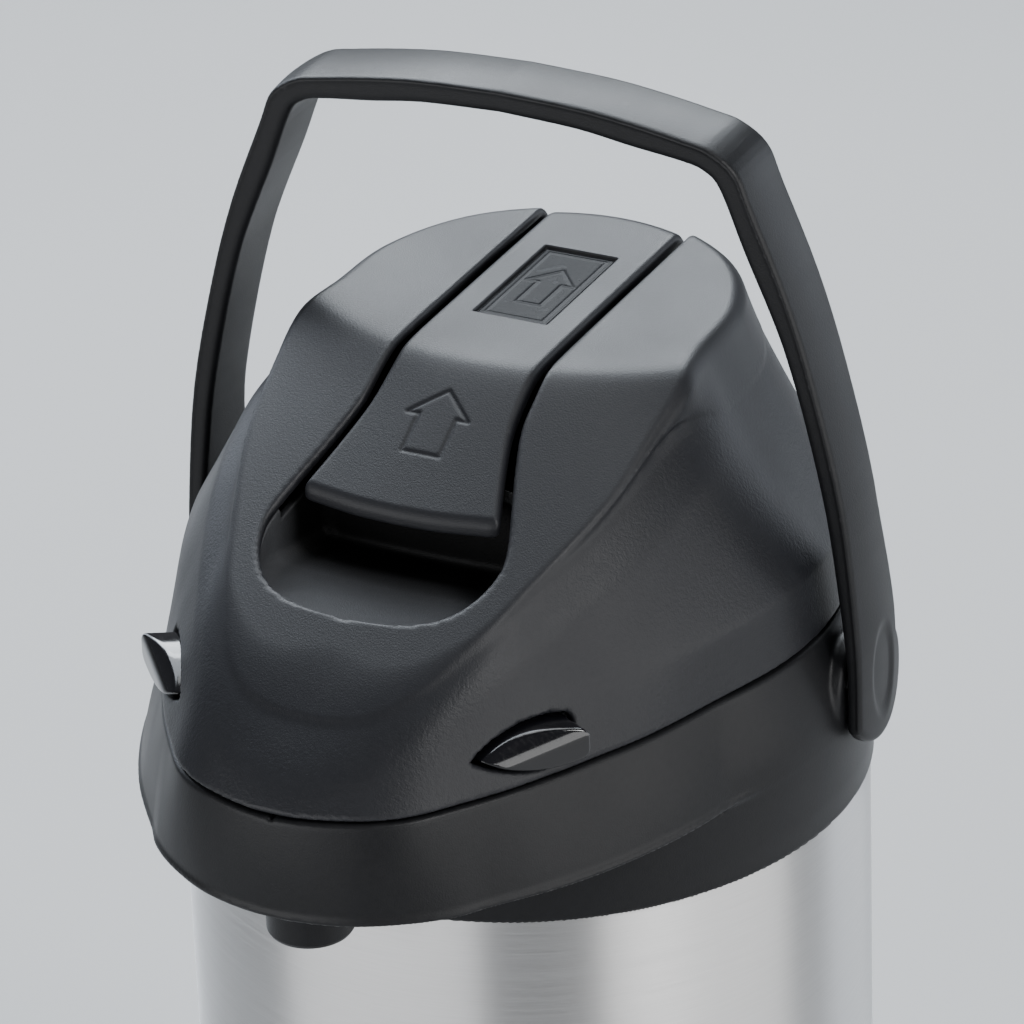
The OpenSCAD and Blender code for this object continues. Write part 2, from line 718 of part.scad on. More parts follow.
module latch_right() { latch(); }
module latch_left() { mirror([1, 0, 0]) latch(); }

latch_spring_x = [22, 33.3];

function latch_coil(t, a) =
    let (r = 2.6 + 0.4*cos(a), length = latch_spring_x[1] - latch_spring_x[0] - 0.8,
         x = latch_spring_x[0] + 0.4 + t * length)
    [x + 0.4 * sin(a), tab_y + r * cos(1800 * t), tab_z - 1 + r * sin(1800 * t)];

module latch_spring() {
    color(steel) stack([for (i = [0:60]) [for (k = [0:5]) latch_coil(i / 60, 60 * k)]]);
}

module latch_spring_right() { latch_spring(); }
module latch_spring_left() { mirror([1, 0, 0]) latch_spring(); }

// ---- drawing ------------------------------------------------------------------------------

foot_mat();
swivel_base();
glide_ring();
swivel_pin();
base_cup();
outer_shell();
flask_cushion();
vacuum_jacket();
liner_base();
flask_liner();
liner_dome();
liner_neck();
neck_adaptor();
siphon_tube();
transfer_tube();
spout();
nose_cover();
collar();
deck();
handle_pins();
hinge_pin();
deck_screws();
nose_screws();
handle();
lid_shell();
finger_tray();
lid_plate();
lid_gasket();
pump_housing();
bellows();
return_spring();
presser();
intake_valve();
outlet_valve();
lever_pin();
lid_screws();
lever();
label_plate();
latch_left();
latch_right();
latch_spring_left();
latch_spring_right();
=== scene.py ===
"""Lever-pump vacuum airpot: the visible mouldings, the steel and every material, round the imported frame."""

import json
import math

import bpy
import numpy as np
from mathutils import Matrix, Vector


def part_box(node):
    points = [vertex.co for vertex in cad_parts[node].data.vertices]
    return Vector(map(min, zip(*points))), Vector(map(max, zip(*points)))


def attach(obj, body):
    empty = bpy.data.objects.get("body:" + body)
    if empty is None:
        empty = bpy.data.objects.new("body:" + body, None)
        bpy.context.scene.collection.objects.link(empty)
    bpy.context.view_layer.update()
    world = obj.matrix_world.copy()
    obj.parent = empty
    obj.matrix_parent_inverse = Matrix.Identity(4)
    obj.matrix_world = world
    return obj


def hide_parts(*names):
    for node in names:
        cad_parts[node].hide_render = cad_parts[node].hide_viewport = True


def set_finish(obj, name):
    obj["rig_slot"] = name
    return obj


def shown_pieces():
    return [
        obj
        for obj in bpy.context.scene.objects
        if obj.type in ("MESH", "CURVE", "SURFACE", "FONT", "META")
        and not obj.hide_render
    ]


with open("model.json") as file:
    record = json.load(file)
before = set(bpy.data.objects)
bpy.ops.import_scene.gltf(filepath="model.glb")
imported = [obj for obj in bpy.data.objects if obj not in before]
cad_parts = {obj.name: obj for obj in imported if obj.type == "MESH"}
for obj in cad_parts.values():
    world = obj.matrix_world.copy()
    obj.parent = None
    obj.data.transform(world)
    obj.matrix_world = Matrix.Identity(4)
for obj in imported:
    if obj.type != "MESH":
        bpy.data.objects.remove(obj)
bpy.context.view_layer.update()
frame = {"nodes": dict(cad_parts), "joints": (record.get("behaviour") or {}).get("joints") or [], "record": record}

MM = 0.001

# ---- camera: the head from its front right, a little above ----------------------------------

CAMERA_PLACE = Vector((0.5565, -1.0731, 0.9615))
CAMERA_AZIMUTH = math.radians(27.47)
CAMERA_ELEVATION = math.radians(27.88)
CAMERA_ROLL = math.radians(-2.15)
CAMERA_LENS = 211.1


def make_camera():
    azimuth, elevation, roll = CAMERA_AZIMUTH, CAMERA_ELEVATION, CAMERA_ROLL
    back = Vector((math.sin(azimuth) * math.cos(elevation), -math.cos(azimuth) * math.cos(elevation),
                   math.sin(elevation)))
    level = Vector((math.cos(azimuth), math.sin(azimuth), 0))
    rise = back.cross(level)
    right = level * math.cos(roll) + rise * math.sin(roll)
    up = rise * math.cos(roll) - level * math.sin(roll)
    data = bpy.data.cameras.new("camera")
    data.lens = CAMERA_LENS
    data.sensor_width = 36
    data.clip_start = 0.05
    camera = bpy.data.objects.new("camera", data)
    turned = Matrix((right, up, back)).transposed().to_4x4()
    camera.matrix_world = Matrix.Translation(CAMERA_PLACE) @ turned
    bpy.context.scene.collection.objects.link(camera)
    bpy.context.scene.camera = camera


make_camera()

# ---- sizes from the frame, in millimetres; heights of the head count from the collar's edge --


def low(node):
    return np.array(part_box(node)[0]) / MM


def high(node):
    return np.array(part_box(node)[1]) / MM


joints = {j["name"]: j for j in frame["joints"]}


def pivot(joint):
    return np.array(joints[joint]["pos_m"]) / MM


COLLAR = low("collar")[2]
TOP = high("lever")[2] - COLLAR
SEAM = pivot("lid_hinge")[2] - COLLAR
NOSE_LIP = 0.6
RIM = low("nose_cover")[2] - NOSE_LIP - COLLAR
BODY_R = high("outer_shell")[0]
HANDLE_Y = pivot("handle_swing")[1]
HANDLE_Z = pivot("handle_swing")[2] - COLLAR
HINGE_Y = pivot("lid_hinge")[1]
LEVER_Y = pivot("lever_hinge")[1]
LEVER_Z = pivot("lever_hinge")[2] - COLLAR
SPOUT_Y = (low("spout")[1] + high("spout")[1]) / 2
WALL = 2.6
HALF_GAP = 0.4

# ---- curves and fields ----------------------------------------------------------------------


def smooth_curve(points):
    """Cubic through a few [x, y] points, level at both ends, as a function of an array."""
    x, y = np.array(points, float).T
    slope = np.zeros(len(x))
    slope[1:-1] = (y[2:] - y[:-2]) / (x[2:] - x[:-2])

    def read(v):
        v = np.clip(v, x[0], x[-1])
        i = np.clip(np.searchsorted(x, v, side="right") - 1, 0, len(x) - 2)
        w = x[i + 1] - x[i]
        t = (v - x[i]) / w
        start = (2 * t ** 3 - 3 * t ** 2 + 1) * y[i] + (t ** 3 - 2 * t ** 2 + t) * w * slope[i]
        return start + (3 * t ** 2 - 2 * t ** 3) * y[i + 1] + (t ** 3 - t ** 2) * w * slope[i + 1]

    return read


def through(points, steps=5):
    """Points along a smooth open line through a few plane points."""
    p = np.array(points, float)
    p = np.vstack([2 * p[0] - p[1], p, 2 * p[-1] - p[-2]])
    t = (np.arange(steps) / steps)[:, None]
    line = []
    for a, b, c, d in zip(p, p[1:], p[2:], p[3:]):
        line.append(b + (c - a) / 2 * t + (a - 2.5 * b + 2 * c - d / 2) * t ** 2
                    + (1.5 * (b - c) + (d - a) / 2) * t ** 3)
    return np.vstack(line + [p[-2:-1]])


def both_sides(half):
    half = np.array(half, float)
    return np.vstack([half, (half * [-1, 1])[::-1]])


def ramp(d, w):
    """0 well below d = 0, d well above it, rounded over about w."""
    return (d + np.sqrt(d * d + w * w)) / 2


def ramp_slope(d, w):
    return (1 + d / np.sqrt(d * d + w * w)) / 2


def step(v, a, b):
    """Smooth step from 0 at v = a to 1 at v = b."""
    t = np.clip((v - a) / (b - a), 0, 1)
    return t * t * (3 - 2 * t)


def both(a, b, r):
    """What two solids share, with its edge rounded to radius r."""
    shared = np.minimum(np.maximum(a, b), -r)
    return shared + np.sqrt(np.maximum(a + r, 0) ** 2 + np.maximum(b + r, 0) ** 2)


def either(a, b, r):
    """Two solids joined, with a fillet of radius r."""
    return -both(-a, -b, r)


def outline(points):
    """Distance to a closed plane outline, negative inside."""
    start = np.array(points, float)
    end = np.roll(start, -1, axis=0)

    def read(u, v):
        u, v = np.broadcast_arrays(u, v)
        nearest = np.full(u.shape, 1e9)
        inside = np.zeros(u.shape, bool)
        for (au, av), (bu, bv) in zip(start, end):
            du, dv = bu - au, bv - av
            if du * du + dv * dv < 1e-12:
                continue
            t = np.clip(((u - au) * du + (v - av) * dv) / (du * du + dv * dv), 0, 1)
            nearest = np.minimum(nearest, (u - au - t * du) ** 2 + (v - av - t * dv) ** 2)
            if dv:
                inside ^= ((av <= v) != (bv <= v)) & (u < au + (v - av) * du / dv)
        return np.where(inside, -1, 1) * np.sqrt(nearest)

    return read


def cylinder_x(x, y, z, r, half, at, edge):
    """Round bar along X about (y, z), with rounded ends."""
    return both(np.hypot(y - at[0], z - at[1]) - r, np.abs(x) - half, edge)


def box_field(x, y, z, lo, hi, edge):
    sides = [np.abs(v - (a + b) / 2) - (b - a) / 2 for v, a, b in zip((x, y, z), lo, hi)]
    return both(both(sides[0], sides[1], edge), sides[2], edge)


# ---- mesh making ----------------------------------------------------------------------------


def add_object(name, points, faces):
    """Smooth-shaded object from points in millimetres above the table."""
    mesh = bpy.data.meshes.new(name)
    mesh.from_pydata((np.asarray(points) * MM).tolist(), [], [list(map(int, f)) for f in faces])
    mesh.update()
    mesh.shade_smooth()
    piece = bpy.data.objects.new(name, mesh)
    bpy.context.scene.collection.objects.link(piece)
    return piece


def settled(field, points, reach):
    """The points moved along the field's slope onto its surface, by at most reach."""
    nudge = 0.02
    for _ in range(2):
        x, y, z = points.T
        slope = np.stack([
            field(x + nudge, y, z) - field(x - nudge, y, z),
            field(x, y + nudge, z) - field(x, y - nudge, z),
            field(x, y, z + nudge) - field(x, y, z - nudge),
        ], axis=1) / (2 * nudge)
        size = np.maximum((slope ** 2).sum(1), 0.25)
        move = -field(x, y, z)[:, None] * slope / size[:, None]
        length = np.linalg.norm(move, axis=1)
        move *= np.minimum(1, reach / np.maximum(length, 1e-9))[:, None]
        points = points + move
    return points


def skin(name, field, lo, hi, cell):
    """Closed mesh round the space where the field is negative: one point in each crossed cell."""
    lo = np.array(lo, float)
    counts = np.ceil((np.array(hi, float) - lo) / cell).astype(int) + 1
    axes = [a + cell * np.arange(n) for a, n in zip(lo, counts)]
    value = np.broadcast_to(field(*np.meshgrid(*axes, indexing="ij", sparse=True)), counts)
    solid = value < 0
    corners = [(i, j, k) for i in (0, 1) for j in (0, 1) for k in (0, 1)]
    filled = sum(solid[i:counts[0] - 1 + i, j:counts[1] - 1 + j, k:counts[2] - 1 + k].astype(np.int8)
                 for i, j, k in corners)
    cells = np.argwhere((filled > 0) & (filled < 8))
    at = {c: value[tuple((cells + c).T)] for c in corners}
    place = np.zeros((len(cells), 3))
    hits = np.zeros(len(cells))
    for corner in corners:
        for axis in range(3):
            if corner[axis]:
                continue
            other = tuple(1 if i == axis else c for i, c in enumerate(corner))
            crossed = (at[corner] < 0) != (at[other] < 0)
            gap = np.where(crossed, at[corner] - at[other], 1)
            spot = np.tile(np.array(corner, float), (len(cells), 1))
            spot[:, axis] = at[corner] / gap
            place += spot * crossed[:, None]
            hits += crossed
    points = lo + cell * (cells + place / hits[:, None])
    number = np.full(counts - 1, -1)
    number[tuple(cells.T)] = np.arange(len(cells))
    faces = []
    for axis in range(3):
        one, two = (axis + 1) % 3, (axis + 2) % 3
        before = np.take(solid, np.arange(counts[axis] - 1), axis)
        after = np.take(solid, np.arange(1, counts[axis]), axis)
        edge = np.argwhere(before != after)
        ring = []
        for d1, d2 in ((1, 1), (0, 1), (0, 0), (1, 0)):
            near = edge.copy()
            near[:, one] -= d1
            near[:, two] -= d2
            ring.append(number[tuple(near.T)])
        quads = np.stack(ring, axis=1)
        inward = ~before[tuple(edge.T)]
        quads[inward] = quads[inward][:, ::-1]
        faces.append(quads)
    points = settled(field, points, cell * 0.6)
    return add_object(name, points + [0, 0, COLLAR], np.vstack(faces))


def rounded(points, radius, steps=4):
    """A closed plane outline with each corner turned into an arc; radius is one size or one per point."""
    p = np.array(points, float)
    radii = np.broadcast_to(radius, len(p))
    line = []
    for a, b, c, r in zip(np.roll(p, 1, axis=0), p, np.roll(p, -1, axis=0), radii):
        to_a, to_c = a - b, c - b
        la, lc = np.linalg.norm(to_a), np.linalg.norm(to_c)
        to_a, to_c = to_a / la, to_c / lc
        half = math.acos(np.clip(to_a @ to_c, -1, 1)) / 2
        cut = min(r / max(math.tan(half), 1e-6), 0.45 * la, 0.45 * lc)
        if r == 0 or cut < 1e-4 or half > 1.55:
            line.append(b)
            continue
        for t in np.linspace(0, 1, steps + 1):
            line.append((1 - t) ** 2 * (b + to_a * cut) + 2 * t * (1 - t) * b + t ** 2 * (b + to_c * cut))
    return np.array(line)


def lathe(name, profile, centre_y=0.0, turns=256):
    """Closed mesh of a closed [radius, height] profile turned round a vertical axis."""
    profile = np.asarray(profile, float)
    angle = np.linspace(0, 2 * math.pi, turns, endpoint=False)
    r, z = profile[:, 0][:, None], profile[:, 1][:, None]
    points = np.stack([r * np.cos(angle), r * np.sin(angle) + centre_y, z + 0 * angle], axis=2)
    n = len(profile)
    i, j = np.meshgrid(np.arange(n), np.arange(turns), indexing="ij")
    i2, j2 = (i + 1) % n, (j + 1) % turns
    faces = np.stack([i * turns + j, i * turns + j2, i2 * turns + j2, i2 * turns + j], axis=2).reshape(-1, 4)
    area = sum(a[0] * b[1] - b[0] * a[1] for a, b in zip(profile, np.roll(profile, -1, axis=0)))
    if area < 0:
        faces = faces[:, ::-1]
    return add_object(name, points.reshape(-1, 3), faces)


def make(piece, body, slot, *nodes):
    """The piece moves with its body, has its slot's look and stands in for the nodes."""
    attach(piece, body)
    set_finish(piece, slot)
    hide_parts(*nodes)


# ---- outlines of the head -------------------------------------------------------------------

SEAM_R = smooth_curve([[0, 120.1], [8.5, 117.5], [14, 113.6], [20, 106], [26.4, 98.9], [31.5, 93.7],
                       [39.6, 87.2], [57.3, 78.2], [72, 76], [180, 76]])
RIM_R = smooth_curve([[0, 122.4], [7.6, 120.9], [13.8, 117.2], [19.2, 112.8], [23, 108.2], [30.7, 101.7],
                      [42.1, 93.1], [53.5, 86.2], [62, 82.2], [69, 81], [180, 81]])
RIDGE_R = smooth_curve([[0, 106], [7, 104.5], [13.6, 98.9], [20.9, 89.7], [29.8, 78.8], [40.8, 69.3],
                        [56.4, 60.2], [70, 54.4], [94, 49.4], [120, 53.5], [150, 59.5], [180, 62]])
RIDGE_Z = smooth_curve([[0, 60.3], [7, 61.6], [13.6, 65.9], [20.9, 73], [29.8, 80.6], [40.8, 87.7],
                        [56.4, 95.5], [70, 100], [94, 101], [180, 101]])
# How far the hood's edge stands inside that outline, drops to the crease, leans and rolls over
INSET = smooth_curve([[0, 0], [8, 0], [20, 1.4], [30, 2.3], [45, 2.4], [58, 3.2], [70, 2.2], [82, 0.5],
                      [92, -0.5], [180, -0.5]])
DROP = smooth_curve([[0, 0], [12, 0.4], [24, 1], [40, 1.2], [76, 1.6], [92, 5], [180, 5]])
LEAN = smooth_curve([[0, 1], [12, 0.8], [24, 0.2], [40, 0], [76, 0.1], [92, 0.41], [180, 0.41]])
ROLL = smooth_curve([[0, 6.5], [14, 4.8], [26, 2.8], [40, 2.4], [70, 2.6], [85, 3.2], [100, 3.5], [180, 3.5]])
# Where the side wall's line ends below and outside the outline, and its recess under the edge
WALL_DROP = smooth_curve([[0, 0], [12, 0.6], [30, 3], [56, 4.5], [180, 5]])
WALL_OUT = smooth_curve([[0, 0], [12, 0.5], [30, 0.9], [56, 0.9], [72, 1.4], [92, 2.55], [180, 2.55]])
RECESS = smooth_curve([[0, 0], [14, 0], [30, 2.6], [60, 3.4], [72, 2.4], [82, 0.9], [92, 0], [180, 0]])
# Swell of the side wall over the straight line from seam to hood, and how soft its crease is
SWELL = smooth_curve([[0, 0.8], [20, 0.8], [30, 1.2], [42, 2.1], [58.5, 4], [70, 4.7], [84, 5.1], [180, 5.1]])
SOFT = smooth_curve([[0, 0.6], [38, 0.5], [62, 0.1], [180, 0.08]])
BAND_H = 15.0
# The flat top ends at an arc and falls evenly beyond it
SLOPE = 0.575
CREASE_R = 78.0
CREASE_Y = 55.0
CREASE_W = 3.5
EDGE_ROUNDING = 0.5
EDGE_FILLET = 0.9


def polar(x, y):
    """Degrees from the nose and distance from the body's axis."""
    return np.degrees(np.arctan2(np.abs(x), -y)), np.hypot(x, y)


def turn_of(curve, a, r):
    """Slope of a radius curve along its own outline."""
    return (curve(a + 0.5) - curve(a - 0.5)) / math.radians(1) / np.maximum(r, 20)


def hood_height(x, y):
    run = np.hypot(x, y - CREASE_Y) - CREASE_R
    return TOP - SLOPE * (ramp(run, CREASE_W) - ramp(-40, CREASE_W))


def hood_top(x, y, z):
    fall = SLOPE * ramp_slope(np.hypot(x, y - CREASE_Y) - CREASE_R, CREASE_W)
    return (z - hood_height(x, y)) / np.sqrt(1 + fall ** 2)


def hood_side(x, y, z):
    a, r = polar(x, y)
    lean = LEAN(a)
    reach = RIDGE_R(a) - INSET(a) + lean * np.minimum(RIDGE_Z(a) - z, DROP(a) + 0.5)
    return (r - reach) / np.sqrt(1 + lean ** 2 + turn_of(RIDGE_R, a, r) ** 2)


def lid_wall(x, y, z):
    a, r = polar(x, y)
    z0 = SEAM + HALF_GAP
    z1 = RIDGE_Z(a) - WALL_DROP(a)
    r0 = SEAM_R(a)
    r1 = RIDGE_R(a) + WALL_OUT(a)
    t = (z - z0) / (z1 - z0)
    peak = np.clip(BAND_H / (z1 - z0), 0.3, 0.5)
    up, down = t / peak, (1 - t) / (1 - peak)
    soft = SOFT(a)
    swell = (up + down - np.sqrt((up - down) ** 2 + soft ** 2)) / 2 + soft / 4
    reach = r0 + (r1 - r0) * t + SWELL(a) * np.maximum(swell, 0) - RECESS(a) * step(z - z1, -9, 2.5)
    return (r - reach) / np.sqrt(1 + ((r1 - r0) / (z1 - z0)) ** 2 + turn_of(SEAM_R, a, r) ** 2)


def hood(x, y, z):
    """The lid's outside, open downwards: the hood's edge stands out over the side wall."""
    a, r = polar(x, y)
    foot = (RIDGE_Z(a) + INSET(a) / 2 - DROP(a) - z) / np.sqrt(1 + turn_of(RIDGE_Z, a, r) ** 2)
    edge = both(hood_side(x, y, z), foot, EDGE_ROUNDING)
    return both(hood_top(x, y, z), either(edge, lid_wall(x, y, z), EDGE_FILLET), ROLL(a))


# ---- lid ------------------------------------------------------------------------------------

OPENING_SIDE = [[18.8, -12], [18.8, -18], [19.1, -27], [19.5, -34.4], [21.8, -42.3], [25, -51],
                [27.9, -59], [28.8, -64.5], [27.1, -70.7], [23.4, -76.1], [17.9, -79.8], [10, -82], [0, -83]]
SLOT_FLOOR = TOP - 14
RECESS_FLOOR = TOP - 43.5
RECESS_REAR = -30
# Gap at the rear of the lid for the collar's hinge lug
HINGE_GAP_HALF = 23.3
HINGE_GAP_FRONT = 68
HINGE_GAP_TOP = 6.2
LIP = 0.9
MOUTH_LIP = 1.0
SLOT_LIP = 0.7
LID_CELL = 0.85


def opening_outline():
    side = through(OPENING_SIDE, 4)
    return outline(both_sides(np.vstack([[side[0, 0], 90], side])))


OPENING = opening_outline()
TAB_PLACE = np.array([47, -82, 52.8])
TAB_TURN = math.radians(62)
# Half length, half height and rear end of the eye-shaped outlines, and where their middle is
SLOT_EYE = (17.4, 5.1, 9.4)
TAB_EYE = (15.1, 4.3, 8.7)
EYE_MIDDLE = 0.6
EYE_END_ROUNDING = 1.6
SLOT_DEPTH = 14


def tab_frame(x, y, z):
    """Place along, out of and up the lid's side at the right-hand latch; the left one mirrors it."""
    dx, dy = np.abs(x) - TAB_PLACE[0], y - TAB_PLACE[1]
    along = dx * math.cos(TAB_TURN) + dy * math.sin(TAB_TURN)
    out = dx * math.sin(TAB_TURN) - dy * math.cos(TAB_TURN)
    return along, out, z - TAB_PLACE[2]


def eye(along, up, half_length, half_height, end):
    """Outline pointed towards the nose and blunt at its rear end."""
    r = (half_length ** 2 + half_height ** 2) / (2 * half_height)
    arcs = np.hypot(along - EYE_MIDDLE, np.abs(up) + r - half_height) - r
    return both(arcs, along - end, EYE_END_ROUNDING)


def lid_field(x, y, z):
    body = hood(x, y, z)
    solid = both(body, SEAM + HALF_GAP - z, LIP)
    hollow = body + WALL
    shell = np.maximum(solid, -hollow)
    floor = np.where(y < RECESS_REAR, RECESS_FLOOR, SLOT_FLOOR)
    mouth = np.maximum(OPENING(x, y), floor - z)
    shell = both(shell, -mouth, MOUTH_LIP)
    hinge = box_field(x, y, z, (-HINGE_GAP_HALF, HINGE_GAP_FRONT, SEAM - 4),
                      (HINGE_GAP_HALF, 100, SEAM + HINGE_GAP_TOP), 0.3)
    shell = both(shell, -hinge, 0.5)
    along, out, up = tab_frame(x, y, z)
    slot = np.maximum(eye(along, up, *SLOT_EYE), np.abs(out) - SLOT_DEPTH)
    return both(shell, -slot, SLOT_LIP)


def make_lid():
    lid = skin("lid_hood", lid_field, (-80, -124, SEAM - 1), (80, 81, TOP + 1.5), LID_CELL)
    x, y, z = (np.array([v.co for v in lid.data.vertices]) / MM).T
    below_ridge = RIDGE_Z(polar(x, y)[0]) + COLLAR - z
    grain = lid.data.attributes.new("grain", "FLOAT", "POINT")
    grain.data.foreach_set("value", step(below_ridge, 1, 5).astype(np.float32))
    make(lid, "lid", "lid_moulding", "lid_shell")


# ---- finger recess --------------------------------------------------------------------------

TRAY_FLOOR = TOP - 39
TRAY_T = 2.0
TRAY_SIDE = 2.2
TRAY_REAR = -43.2
TRAY_WALL = 3
# Behind this place the tray keeps clear of the lever above it
TRAY_CLEAR_Y = -59
TRAY_CLEAR = 2.4
# The floor rises with the square of the way from its middle, by these factors across and along
SCOOP_MIDDLE = -66
SCOOP = (0.001, 0.0016)
TRAY_FILLET = 3.5
TRAY_CELL = 0.5


def tray_field(x, y, z):
    """Scooped floor, side walls and a rear wall that ends just under the lever."""
    edge = OPENING(x, y)
    under = hood_top(x, y, z) + WALL + 0.1 + np.where(y > TRAY_CLEAR_Y, TRAY_CLEAR, 0)
    block = both(both(edge - TRAY_SIDE, TRAY_FLOOR - TRAY_T - z, 1), under, 0.3)
    block = np.maximum(block, y - TRAY_REAR)
    scoop = SCOOP[1] * (y - SCOOP_MIDDLE) ** 2 + SCOOP[0] * x ** 2
    floor = both(edge - 0.3, TRAY_FLOOR + scoop - z, TRAY_FILLET)
    hollow = both(floor, y - TRAY_REAR + TRAY_WALL, 2)
    return np.maximum(block, -hollow)


def make_tray():
    tray = skin("finger_recess", tray_field, (-33, -87, 64), (33, -35, 103), TRAY_CELL)
    make(tray, "lid", "tray_moulding", "finger_tray")


# ---- lever ----------------------------------------------------------------------------------

LEVER_SIDE = [[16.8, -10], [16.8, -18], [16.9, -26], [17.7, -35], [20.2, -44], [22.6, -51], [23.7, -54],
              [23.8, -55.1], [22.9, -55.9], [20, -56.6], [10, -58.2], [0, -58.7]]
LEVER_T = 3.6
LEVER_EDGE = 3.6
LEVER_ROUNDING = 1.7
LEVER_CELL = 0.4
# Behind this place the sides end this far below the top
SKIRT_REAR = 30
SKIRT_H = 8
LEVER_KNUCKLE_R = 6.0
LEVER_KNUCKLE_HALF = 8.8
LEVER_BORE_R = 2.55
RIB_HALF = 5
# Round-edged rib across the lever's underside that presses the pump down
PUSH_R = 5.0
PUSH_HALF = 8
PUSH_DROP = 4
LABEL_HALF = 9.2
LABEL_Y = (-0.3, 36.8)
LABEL_SUNK = 0.75
LABEL_BED = 1.2
LABEL_GAP = 0.5
LABEL_CELL = 0.25


def lever_outline():
    return outline(both_sides(np.vstack([[[16.8, 61]], through(LEVER_SIDE, 4)])))


LEVER_PLAN = lever_outline()


def arrow_line(stem, head, tail, point, shoulder):
    """Plain arrow that points to +v: half widths of stem and head, and heights along v."""
    return outline(both_sides([[0, point], [head, shoulder], [stem, shoulder], [stem, tail], [0, tail]]))


LEVER_ARROW = arrow_line(4.6, 7.4, -45.2, -30.4, -36.4)
LABEL_ARROW = arrow_line(3, 5.8, 9, 27, 20)
ARROW_DEPTH = 0.32
LABEL_ARROW_H = 0.16
LABEL_BORDER_H = 0.12
LABEL_BORDER_IN = 1.6


def groove(distance, width):
    """1 on a line, falling to 0 at about twice that width from it."""
    return np.exp(-(distance / width) ** 2)


def lever_field(x, y, z):
    shape = both(hood_top(x, y, z), hood_side(x, y, z), LEVER_EDGE)
    cut = ARROW_DEPTH * groove(LEVER_ARROW(x, y), 0.4)
    plate = both(LEVER_PLAN(x, y), shape + cut, LEVER_ROUNDING)
    plate = both(plate, -(shape + LEVER_T), 1.0)
    plate = np.maximum(plate, np.where(y > SKIRT_REAR, TOP - SKIRT_H - z, -50))
    recess = box_field(x, y, z, (-LABEL_HALF, LABEL_Y[0], TOP - LABEL_BED),
                       (LABEL_HALF, LABEL_Y[1], TOP + 5), 0.25)
    plate = both(plate, -recess, 0.3)
    half = LEVER_KNUCKLE_HALF
    knuckle = cylinder_x(x, y, z, LEVER_KNUCKLE_R, half, (LEVER_Y, LEVER_Z), 0.6)
    rib = box_field(x, y, z, (-half, LEVER_Y - RIB_HALF, LEVER_Z), (half, LEVER_Y + RIB_HALF, TOP - 2), 0.5)
    foot = LEVER_Z - PUSH_DROP
    push = cylinder_x(x, y, z, PUSH_R, PUSH_HALF, (0, foot), 0.6)
    push = np.minimum(push, box_field(x, y, z, (-PUSH_HALF, -4, foot), (PUSH_HALF, 4, TOP - 2), 0.5))
    solid = np.minimum(either(plate, np.minimum(knuckle, rib), 0.8), push)
    bore = np.hypot(y - LEVER_Y, z - LEVER_Z) - LEVER_BORE_R
    return np.maximum(solid, -bore)


def label_field(x, y, z):
    ends = np.abs(y - (LABEL_Y[0] + LABEL_Y[1]) / 2) - (LABEL_Y[1] - LABEL_Y[0]) / 2 + LABEL_GAP
    plan = both(np.abs(x) - LABEL_HALF + LABEL_GAP, ends, 0.4)
    arrow = LABEL_ARROW_H * groove(LABEL_ARROW(x, y), 0.4)
    border = LABEL_BORDER_H * groove(plan + LABEL_BORDER_IN, 0.3)
    face = z - (TOP - LABEL_SUNK) - arrow - border
    return both(both(plan, face, 0.25), TOP - LABEL_BED - z, 0.05)


def make_lever():
    lever = skin("pump_lever_cap", lever_field, (-26, -61, 83), (26, 63, TOP + 1), LEVER_CELL)
    make(lever, "pump_lever", "lid_moulding", "lever")
    label = skin("lever_label", label_field, (-10, -1.5, TOP - 2), (10, 38, TOP + 1), LABEL_CELL)
    make(label, "pump_lever", "label", "label_plate")


# ---- collar ---------------------------------------------------------------------------------

COLLAR_R = smooth_curve([[0, 80.8], [8, 81.2], [21, 81.4], [29, 80.6], [43.4, 76.4], [46, 75.5]])
NOSE_SWELL = 2.4
NOSE_INSET = 0.35
NOSE_ROUNDING = 0.9
# Bead along the nose's lower edge, which fades out where the nose meets the collar
BEAD = 0.5
BEAD_H = 2.2
BEAD_END = 75
BOSS_R = 11.5
BOSS_X = 81.7
PAD_X = (66, 78)
PAD_HALF = 9
SKIRT_GRIP = 1.2
SKIRT_TOP = 12.2
KNUCKLE_R = 5.0
KNUCKLE_HALF = 12.0
LUG_FRONT = 75
HANDLE_PIN_R = 4.0
HINGE_PIN_R = 2.0
MARK_HALF = 0.45
COLLAR_CELL = 0.7


def nose(x, y, z):
    a, r = polar(x, y)
    t = (z - RIM) / (SEAM - RIM)
    bead = BEAD * step(RIM + BEAD_H - z, 0, 1.4) * step(BEAD_END - a, 0, 15)
    reach = RIM_R(a) + (SEAM_R(a) - RIM_R(a)) * t + NOSE_SWELL * t * (1 - t) - NOSE_INSET + bead
    return (r - reach) / np.sqrt(1 + 0.1 ** 2 + turn_of(RIM_R, a, r) ** 2)


def collar_wall(x, y, z):
    return np.hypot(x, y) - COLLAR_R(z)


